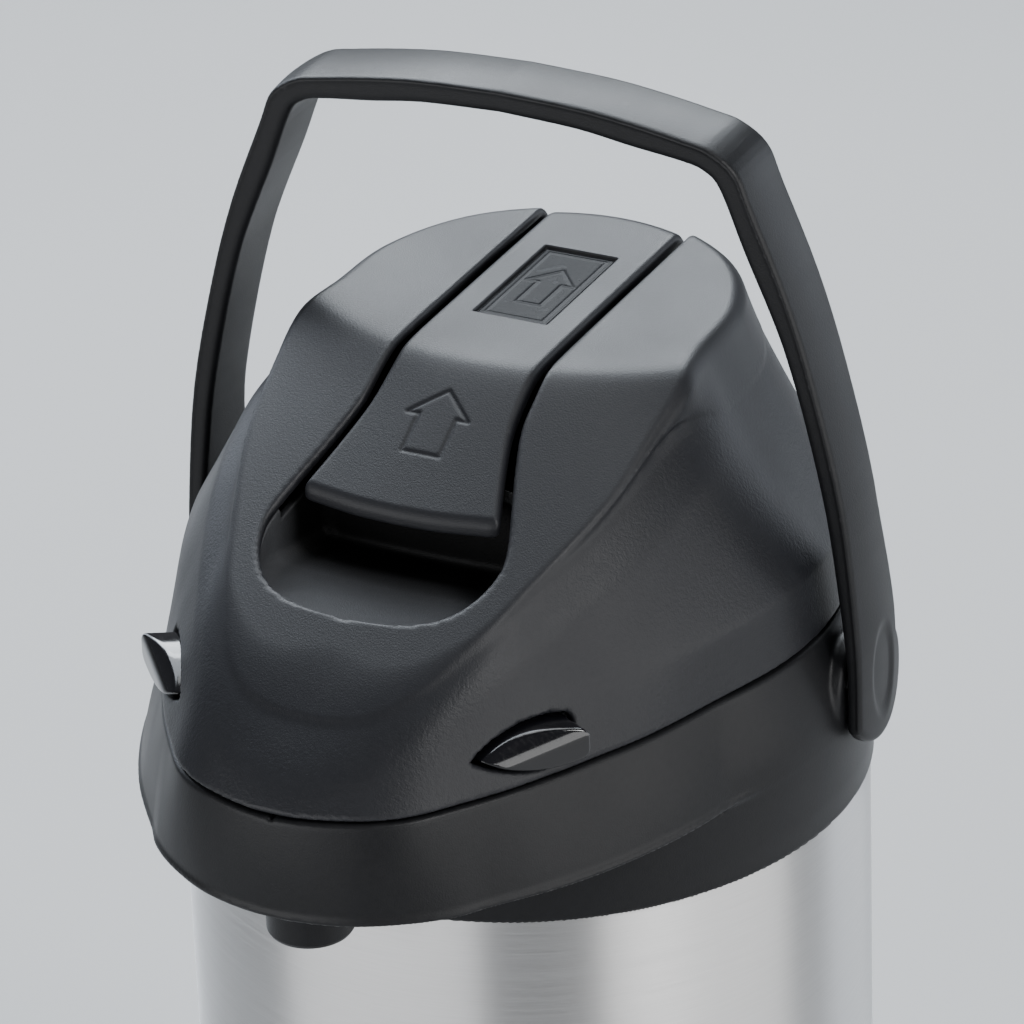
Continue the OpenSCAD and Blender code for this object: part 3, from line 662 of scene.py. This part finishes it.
def collar_field(x, y, z):
    front = nose(x, y, z)
    wall = collar_wall(x, y, z)
    nose_solid = both(front, RIM - z, NOSE_ROUNDING)
    solid = both(either(nose_solid, wall, 1.2), z - (SEAM - HALF_GAP), 0.9)
    solid = both(solid, -z, 0.4)
    boss = cylinder_x(x, y, z, BOSS_R, BOSS_X, (HANDLE_Y, HANDLE_Z), 1.6)
    inside = np.minimum(wall + WALL + 1, np.maximum(front + WALL, RIM - 1 - z))
    sleeve = np.maximum(np.hypot(x, y) - BODY_R + SKIRT_GRIP, z - SKIRT_TOP)
    hollow = np.minimum(inside, sleeve)
    solid = either(solid, boss, 1.0)
    pads = box_field(np.abs(x), y, z, (PAD_X[0], HANDLE_Y - PAD_HALF, HANDLE_Z - PAD_HALF),
                     (PAD_X[1], HANDLE_Y + PAD_HALF, HANDLE_Z + PAD_HALF), 0.5)
    solid = np.maximum(solid, -hollow)
    solid = np.minimum(solid, pads)
    lug = np.minimum(
        cylinder_x(x, y, z, KNUCKLE_R, KNUCKLE_HALF, (HINGE_Y, SEAM), 0.5),
        box_field(x, y, z, (-KNUCKLE_HALF, LUG_FRONT, SEAM - 9), (KNUCKLE_HALF, HINGE_Y, SEAM - 1), 0.6))
    solid = np.minimum(solid, lug)
    pin = np.hypot(y - HANDLE_Y, z - HANDLE_Z) - HANDLE_PIN_R
    pin = np.maximum(pin, 60 - np.abs(x))
    hinge = np.maximum(np.hypot(y - HINGE_Y, z - SEAM) - HINGE_PIN_R, np.abs(x) - 20)
    mark = box_field(x, y, z, (-MARK_HALF, -125, SEAM - 1.1), (MARK_HALF, -100, SEAM + 2), 0.1)
    return np.maximum(np.maximum(solid, -pin), np.maximum(-hinge, -mark))


def make_collar():
    collar = skin("collar_and_nose", collar_field, (-84, -125, -1.5), (84, 90, 51.5), COLLAR_CELL)
    make(collar, "flask_body", "black_moulding", "collar")


# ---- handle ---------------------------------------------------------------------------------

BAIL_OUTER = [[0, 166.2], [19, 165.5], [31.8, 164.1], [44.6, 162], [51.4, 160.4], [57.7, 155.8],
              [61.3, 147.3], [69.6, 127], [76.1, 105.7], [82.6, 77.5], [85.8, 49.5], [86.6, 32], [86.4, 0]]
BAIL_INNER = [[0, 160.2], [18.8, 159.3], [31.6, 157.5], [44.5, 155.9], [49.6, 154.4], [53.2, 150.6],
              [58.6, 137], [64.8, 122.6], [68.5, 112.5], [73, 96.2], [77.5, 75.7], [80.4, 55.4],
              [82, 41.4], [82.4, 32], [82.4, -1]]
BAIL_FRONT = -3.1
BAIL_REAR = 16.0
FRONT_STEP = 0.55
REAR_GROWTH = 4
PADDLE_R = 14.0
PADDLE_Y = 9.0
CROWN = 0.7
# Shallow oval dish on the outside of each paddle: middle and half sizes along Y and Z
DISH_DEPTH = 0.7
DISH_MIDDLE = (10, 33)
DISH_HALF = (7, 13)
HANDLE_CELL = 0.6

BAIL_OUT = outline(both_sides(through(BAIL_OUTER, 4)))
BAIL_IN = outline(both_sides(through(BAIL_INNER, 4)))


def handle_field(x, y, z):
    across = (y - (BAIL_FRONT + BAIL_REAR) / 2) / 10
    oval = np.hypot((y - DISH_MIDDLE[0]) / DISH_HALF[0], (z - DISH_MIDDLE[1]) / DISH_HALF[1])
    dish = DISH_DEPTH * step(1 - oval, 0, 0.35)
    outside = BAIL_OUT(x, z)
    outer = outside + CROWN * across ** 2 + dish
    band = both(outer, -BAIL_IN(x, z), 1.6)
    front = BAIL_FRONT + FRONT_STEP * step(-outside, 1.0, 1.9)
    rear = BAIL_REAR + REAR_GROWTH * step(75 - z, 0, 33)
    disc = np.hypot(y - PADDLE_Y, z - HANDLE_Z) - PADDLE_R
    side = np.maximum(front - y, np.minimum(np.maximum(y - rear, HANDLE_Z - z), disc))
    solid = both(band, side, 1.5)
    bore = np.maximum(np.hypot(y - HANDLE_Y, z - HANDLE_Z) - HANDLE_PIN_R - 0.05, np.abs(x) - 85.3)
    return np.maximum(solid, -bore)


def make_handle():
    handle = skin("bail_handle", handle_field, (-88, -5, 14), (88, 25, 168), HANDLE_CELL)
    make(handle, "bail", "black_moulding", "handle")


# ---- latches --------------------------------------------------------------------------------

# The tab's face stands out by this share of the way along it, from this reach at its middle
FACE_SLOPE = 0.27
FACE_REACH = 2.6
CREASE_SLOPE = 0.22
# What those two slopes shorten a distance by
FACE_SHARE = 0.965
CREASE_SHARE = 0.97
# Above the crease the face rolls inwards, already a little turned up at the crease
ROLLED_R = 9
ROLLED_BACK = 6.05
ROLLED_DOWN = 2.48
TAB_CELL = 0.35


def latch_field(side):
    """Wedge that swells out of the slot towards the rear, flat below a slanting crease and
    rolled inwards above it, on a slider with a leg."""
    def field(x, y, z):
        along, out, up = tab_frame(x, y, z)
        swing = (out - FACE_SLOPE * along) * FACE_SHARE
        above = (up - CREASE_SLOPE * along - 0.2) * CREASE_SHARE
        rolled = np.hypot(swing + ROLLED_BACK, np.maximum(above + ROLLED_DOWN, 0)) - ROLLED_R
        tab = both(eye(along, up, *TAB_EYE), both(swing - FACE_REACH, rolled, 0.25), 0.5)
        tab = np.maximum(tab, -9 - out)
        reach = np.abs(x)
        slider = box_field(reach, y, z, (33.5, -83, 49), (43, -76, 55), 0.4)
        leg = box_field(reach, y, z, (38, -84, 38.6), (41, -76, 49.5), 0.3)
        return np.maximum(np.minimum(tab, np.minimum(slider, leg)), -side * x)
    return field


def make_latches():
    for name, side in (("left", -1), ("right", 1)):
        near, far = sorted((28 * side, 58 * side))
        tab = skin(f"{name}_latch_tab", latch_field(side), (near, -100, 37), (far, -64, 60), TAB_CELL)
        make(tab, f"{name}_latch", "gloss_black", f"latch_{name}")


# ---- body and foot --------------------------------------------------------------------------

SLEEVE_T = 0.8
CUP_R = 81.2
CUP_H = 13
CUP_FLOOR = 3.5
CUP_RING_H = 10
CUP_RING_R = 76.2
CUP_BORE_R = 5.02
FOOT_R = 76.6
FOOT_BORE_R = 5.05
GLIDE_GROOVE = (59.9, 64.1)
GLIDE_DEPTH = 1
MAT_BORE_R = 0.4
MAT_GROOVE = 0.5
MAT_RIB = 1.6
MAT_PITCH = 6
SPOUT_BORE_R = 6.4
SPOUT_R = 9.8
SPOUT_FLANGE_R = 12


def make_sleeve():
    lo, hi = low("outer_shell")[2], COLLAR + 0.8
    inner = BODY_R - SLEEVE_T
    sleeve = lathe("steel_sleeve", rounded([[inner, lo], [BODY_R, lo], [BODY_R, hi], [inner, hi]], 0.25))
    make(sleeve, "flask_body", "brushed_steel", "outer_shell")


def make_cup():
    z = low("base_cup")[2]
    top, floor, ring = z + CUP_H, z + CUP_FLOOR, z + CUP_RING_H
    inner, outer = BODY_R - 0.9, BODY_R + 0.1
    cup = lathe("base_cup_ring", rounded([
        [CUP_BORE_R, z], [CUP_R - 2.7, z], [CUP_R - 0.6, z + 1], [CUP_R, floor], [CUP_R, top - 1],
        [CUP_R - 0.3, top], [outer, top], [outer, floor], [inner, floor], [inner, ring], [CUP_RING_R, ring],
        [CUP_RING_R, floor], [10, floor], [10, z + 7], [CUP_BORE_R, z + 7]
    ], [0.2, 1.5, 1, 1, 0.5, 0.3, 0.2, 0.2, 0.2, 0.3, 0.3, 0.8, 0.8, 0.4, 0.2]))
    make(cup, "flask_body", "black_moulding", "base_cup")


def make_foot():
    top, bottom = high("swivel_base")[2], low("swivel_base")[2]
    near, far = GLIDE_GROOVE
    foot = lathe("turning_foot_disc", rounded([
        [FOOT_BORE_R, bottom + 3], [9.5, bottom + 3], [9.5, bottom], [FOOT_R - 6.3, bottom],
        [FOOT_R - 3.6, bottom + 0.6], [FOOT_R - 0.6, bottom + 4], [FOOT_R, top - 3], [FOOT_R - 0.6, top],
        [far, top], [far, top - GLIDE_DEPTH], [near, top - GLIDE_DEPTH], [near, top], [FOOT_BORE_R, top]
    ], [0.2, 0.2, 0.3, 1, 1, 1, 1, 0.8, 0.2, 0.2, 0.2, 0.2, 0.2]))
    make(foot, "turning_foot", "black_moulding", "swivel_base")


def make_mat():
    """Rubber disc with ribs in rings on its underside."""
    radius, _, top = high("foot_mat")
    ribs = []
    for r in range(16, 66, MAT_PITCH):
        groove_from, groove_to = r + MAT_RIB + 0.01, r + MAT_PITCH - 0.01
        ribs += [[r, 0], [r + MAT_RIB, 0], [groove_from, MAT_GROOVE], [groove_to, MAT_GROOVE]]
    rim = [[radius - 0.5, 0], [radius, 0.5], [radius, top], [MAT_BORE_R, top]]
    mat = lathe("foot_pad", [[MAT_BORE_R, MAT_GROOVE]] + ribs + rim)
    make(mat, "turning_foot", "rubber", "foot_mat")


def make_spout():
    lo, hi = low("spout")[2], high("spout")[2]
    shelf = RIM + COLLAR + 2.6
    spout = lathe("spout_stub", rounded([
        [SPOUT_BORE_R, lo], [SPOUT_R - 0.6, lo], [SPOUT_R, lo + 1], [SPOUT_R, shelf],
        [SPOUT_FLANGE_R, shelf], [SPOUT_FLANGE_R, hi], [SPOUT_BORE_R, hi]
    ], [0.3, 0.5, 0.6, 0.4, 0.6, 0.5, 0.3]), SPOUT_Y, 96)
    make(spout, "flask_body", "black_moulding", "spout")


# ---- materials ------------------------------------------------------------------------------


class Shader:
    """Short way to write a material's nodes."""

    def __init__(self, name, colour, roughness, **fixed):
        self.material = bpy.data.materials.new(name)
        self.material.use_nodes = True
        self.tree = self.material.node_tree
        self.surface = self.tree.nodes["Principled BSDF"]
        self.surface.inputs["Base Color"].default_value = (*colour, 1)
        self.surface.inputs["Roughness"].default_value = roughness
        for socket, value in fixed.items():
            self.surface.inputs[socket.replace("_", " ")].default_value = value
        self.place = self.tree.nodes.new("ShaderNodeTexCoord").outputs["Object"]

    def node(self, kind, **settings):
        made = self.tree.nodes.new("ShaderNode" + kind)
        for key, value in settings.items():
            setattr(made, key, value)
        return made

    def link(self, source, target):
        self.tree.links.new(source, target)

    def stretched(self, scale):
        mapping = self.node("Mapping")
        mapping.inputs["Scale"].default_value = scale
        self.link(self.place, mapping.inputs["Vector"])
        return mapping.outputs["Vector"]

    def along_y(self):
        """Place along Y, in metres."""
        split = self.node("SeparateXYZ")
        self.link(self.place, split.inputs["Vector"])
        return split.outputs["Y"]

    def noise(self, scale, detail=2.0, place=None, roughness=0.5):
        made = self.node("TexNoise")
        made.inputs["Scale"].default_value = scale
        made.inputs["Detail"].default_value = detail
        made.inputs["Roughness"].default_value = roughness
        self.link(place or self.place, made.inputs["Vector"])
        return made.outputs["Fac"]

    def spread(self, value, low_in, high_in, low_out, high_out):
        """The value, carried from one range to another and held at its ends."""
        made = self.node("MapRange")
        for i, number in enumerate((low_in, high_in, low_out, high_out)):
            made.inputs[i + 1].default_value = number
        self.link(value, made.inputs["Value"])
        return made.outputs["Result"]

    def mixed(self, share, one, two):
        made = self.node("Mix", data_type="RGBA")
        for socket, tone in (("A", one), ("B", two)):
            if isinstance(tone, bpy.types.NodeSocket):
                self.link(tone, made.inputs[socket])
            else:
                made.inputs[socket].default_value = (*tone, 1)
        self.link(share, made.inputs["Factor"])
        return made.outputs["Result"]

    def maths(self, operation, one, two):
        made = self.node("Math", operation=operation)
        for socket, value in zip(made.inputs, (one, two)):
            if isinstance(value, (int, float)):
                socket.default_value = value
            else:
                self.link(value, socket)
        return made.outputs[0]

    def bump(self, height, distance, strength=1.0):
        made = self.node("Bump")
        made.inputs["Distance"].default_value = distance
        if isinstance(strength, float):
            made.inputs["Strength"].default_value = strength
        else:
            self.link(strength, made.inputs["Strength"])
        self.link(height, made.inputs["Height"])
        self.link(made.outputs["Normal"], self.surface.inputs["Normal"])

    def drive(self, socket, value):
        self.link(value, self.surface.inputs[socket])


def moulding(name, colour, roughness, grain=0.5, coarse=1.0, painted_shade_behind=None, **fixed):
    """Grained moulded plastic, paler where its edges are handled; behind a place along Y its colour
    turns black, a painted shade for the shadow deep in a recess."""
    s = Shader(name, colour, roughness, **fixed)
    fine = s.noise(2600, 1.5)
    rough = s.noise(1150, 2)
    attribute = s.node("Attribute", attribute_name="grain").outputs["Fac"]
    height = s.maths("ADD", fine, s.maths("MULTIPLY", rough, s.maths("MULTIPLY", attribute, 1.6 * coarse)))
    s.bump(height, 0.00012, grain)
    cloud = s.noise(22, 3)
    s.drive("Roughness", s.spread(cloud, 0.3, 0.7, roughness - 0.05, roughness + 0.05))
    edges = s.spread(s.node("NewGeometry").outputs["Pointiness"], 0.52, 0.58, 0, 1)
    worn = s.maths("MULTIPLY", edges, s.spread(s.noise(160, 3), 0.35, 0.65, 0.2, 0.9))
    pale = [c * 1.5 + 0.01 for c in colour]
    mottle = s.maths("ADD", worn, s.spread(s.noise(700, 2), 0.3, 0.7, 0.0, 0.12))
    tone = s.mixed(mottle, colour, pale)
    if painted_shade_behind is not None:
        # Painted shade: behind this place along Y the colour fades to near black, standing in for the shadow at
        # the rear of the recess under the lever.
        clear_of_painted_shade = s.spread(s.along_y(), painted_shade_behind - 0.005, painted_shade_behind + 0.002, 1, 0)
        tone = s.mixed(clear_of_painted_shade, [0.001] * 3, tone)
    s.drive("Base Color", tone)
    return s.material


def brushed(name, colour, roughness, lines, depth, **fixed):
    """Steel brushed round the body: fine lines that run round the vertical axis."""
    s = Shader(name, colour, roughness, Metallic=1.0, **fixed)
    tangent = s.node("Tangent", direction_type="RADIAL", axis="Z")
    s.link(tangent.outputs["Tangent"], s.surface.inputs["Tangent"])
    long_line = s.noise(1, 3, s.stretched((14, 14, lines)), 0.65)
    short_line = s.noise(1, 2, s.stretched((70, 70, lines * 1.9)), 0.6)
    height = s.maths("ADD", long_line, short_line)
    s.bump(height, depth, 0.35)
    s.drive("Roughness", s.spread(long_line, 0.3, 0.7, roughness - 0.06, roughness + 0.07))
    shade = s.spread(short_line, 0.3, 0.7, 0, 1)
    s.drive("Base Color", s.mixed(shade, [c * 0.93 for c in colour], colour))
    return s.material


def plain_part(name, colour, roughness, scale=900, depth=0.0001, **fixed):
    """Inner parts: an even finish with slight mottling and a fine texture."""
    s = Shader(name, colour, roughness, **fixed)
    s.bump(s.noise(scale, 2), depth, 0.3)
    s.drive("Roughness", s.spread(s.noise(60, 3), 0.3, 0.7, roughness - 0.05, roughness + 0.06))
    dark, pale = [c * 0.88 for c in colour], [min(1, c * 1.1) for c in colour]
    s.drive("Base Color", s.mixed(s.noise(45, 3), dark, pale))
    return s.material


def polished_plastic(name, colour, roughness):
    """Glossy moulding with faint sink marks and fine handling scratches."""
    s = Shader(name, colour, roughness, Coat_Weight=0.4, Coat_Roughness=0.04)
    scratches = s.noise(1, 2, s.stretched((220, 2400, 900)), 0.7)
    s.bump(s.maths("ADD", s.noise(180, 1), s.maths("MULTIPLY", scratches, 0.12)), 0.00005, 0.25)
    s.drive("Roughness", s.spread(scratches, 0.45, 0.75, roughness, roughness + 0.12))
    s.drive("Base Color", s.mixed(s.noise(90, 2), colour, [c * 1.35 for c in colour]))
    return s.material


LOOKS = {
    "black_moulding": moulding("satin_black", (0.0055, 0.0057, 0.0066), 0.42, 0.32,
                               Specular_IOR_Level=0.24),
    "lid_moulding": moulding("grained_charcoal", (0.0085, 0.009, 0.0112), 0.45, 0.45,
                             Specular_IOR_Level=0.31),
    # Finger recess: its base colour is paler than the lid's moulding as painted light on the recess floor, and
    # behind Y = -0.056 m it is painted shade.
    "tray_moulding": moulding("coarse_charcoal", (0.045, 0.0465, 0.05), 0.52, 0.85, painted_shade_behind=-0.056,
                              Specular_IOR_Level=0.15),
    "gloss_black": polished_plastic("polished_black", (0.003, 0.003, 0.004), 0.11),
    "inner_moulding": plain_part("inner_black", (0.03, 0.03, 0.033), 0.5),
    "label": moulding("satin_label", (0.006, 0.0065, 0.008), 0.24, 0.12,
                      Specular_IOR_Level=0.035),
    "brushed_steel": brushed("brushed_steel", (0.66, 0.655, 0.65), 0.36, 2600, 0.00004,
                             Anisotropic=0.95, Anisotropic_Rotation=0.25),
    "liner_steel": brushed("satin_steel", (0.6, 0.6, 0.61), 0.34, 900, 0.00003, Anisotropic=0.4),
    "pin_steel": plain_part("bright_steel", (0.62, 0.62, 0.64), 0.24, 1500, 0.00004, Metallic=1.0),
    "rubber": plain_part("black_rubber", (0.018, 0.018, 0.018), 0.75, 1100, 0.0002),
    "silicone": plain_part("clear_silicone", (0.58, 0.56, 0.5), 0.42, 500, 0.0001, Subsurface_Weight=0.2),
}


def dress():
    """Every piece and every carried-over node takes the look of its slot."""
    slot_of = {s["node"]: s["material_slot"] for s in frame["record"]["subparts"]}
    for name, node in frame["nodes"].items():
        node.data.materials.clear()
        node.data.materials.append(LOOKS[slot_of[name]])
    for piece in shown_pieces():
        if "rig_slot" in piece:
            piece.data.materials.clear()
            piece.data.materials.append(LOOKS[piece["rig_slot"]])


# ---- floor and light ------------------------------------------------------------------------


def make_floor():
    size, parts = 5.0, 40
    steps = np.linspace(-size, size, parts + 1)
    x, y = np.meshgrid(steps, steps, indexing="ij")
    points = np.stack([x.ravel(), y.ravel(), 0 * x.ravel()], axis=1) / MM
    i, j = np.meshgrid(np.arange(parts), np.arange(parts), indexing="ij")
    corner = (i * (parts + 1) + j).ravel()
    faces = np.stack([corner, corner + parts + 1, corner + parts + 2, corner + 1], axis=1)
    floor = add_object("floor", points, faces)
    s = Shader("pale_floor", (0.4, 0.4, 0.4), 0.7)
    s.drive("Base Color", s.mixed(s.noise(3, 2), (0.38, 0.38, 0.38), (0.42, 0.42, 0.42)))
    floor.data.materials.append(s.material)


def softbox(name, azimuth, elevation, distance, size, power, colour=(1, 1, 1), aim=(0, 0, 0.33)):
    """Area light on a sphere round the head, seen from it at that azimuth and elevation."""
    a, e = math.radians(azimuth), math.radians(elevation)
    away = Vector((math.sin(a) * math.cos(e), -math.cos(a) * math.cos(e), math.sin(e)))
    data = bpy.data.lights.new(name, "AREA")
    data.shape = "RECTANGLE"
    data.size, data.size_y = size
    data.energy = power
    data.color = colour
    light = bpy.data.objects.new(name, data)
    light.location = Vector(aim) + away * distance
    light.rotation_mode = "QUATERNION"
    light.rotation_quaternion = (-away).to_track_quat("-Z", "Y")
    bpy.context.scene.collection.objects.link(light)


def make_lights():
    softbox("rear_key", 211, 40, 1.6, (1.5, 0.75), 48, (0.88, 0.94, 1))
    softbox("slope_box", -122, 60, 1.5, (0.8, 0.8), 11, (0.86, 0.92, 1))
    softbox("top_box", 170, 76, 1.5, (0.7, 0.7), 6, (0.95, 0.98, 1))
    softbox("right_key", 72, 44, 1.6, (0.4, 0.4), 12)
    softbox("left_box", -21, 6, 1.6, (2.0, 1.0), 21, (0.97, 0.98, 1))
    softbox("right_box", 80, 6, 1.6, (2.0, 1.0), 21)
    softbox("left_rear", -118, 18, 1.6, (0.6, 1.2), 8, (0.8, 0.88, 1))
    softbox("right_rear", 145, 8, 1.6, (0.8, 1.1), 7, (0.85, 0.91, 1))
    world = bpy.data.worlds.new("studio")
    world.use_nodes = True
    background = world.node_tree.nodes["Background"]
    background.inputs["Color"].default_value = (0.9, 0.93, 1, 1)
    background.inputs["Strength"].default_value = 0.12
    bpy.context.scene.world = world


make_sleeve()
make_cup()
make_foot()
make_mat()
make_spout()
make_collar()
make_lid()
make_tray()
make_lever()
make_handle()
make_latches()
dress()
make_floor()
make_lights()
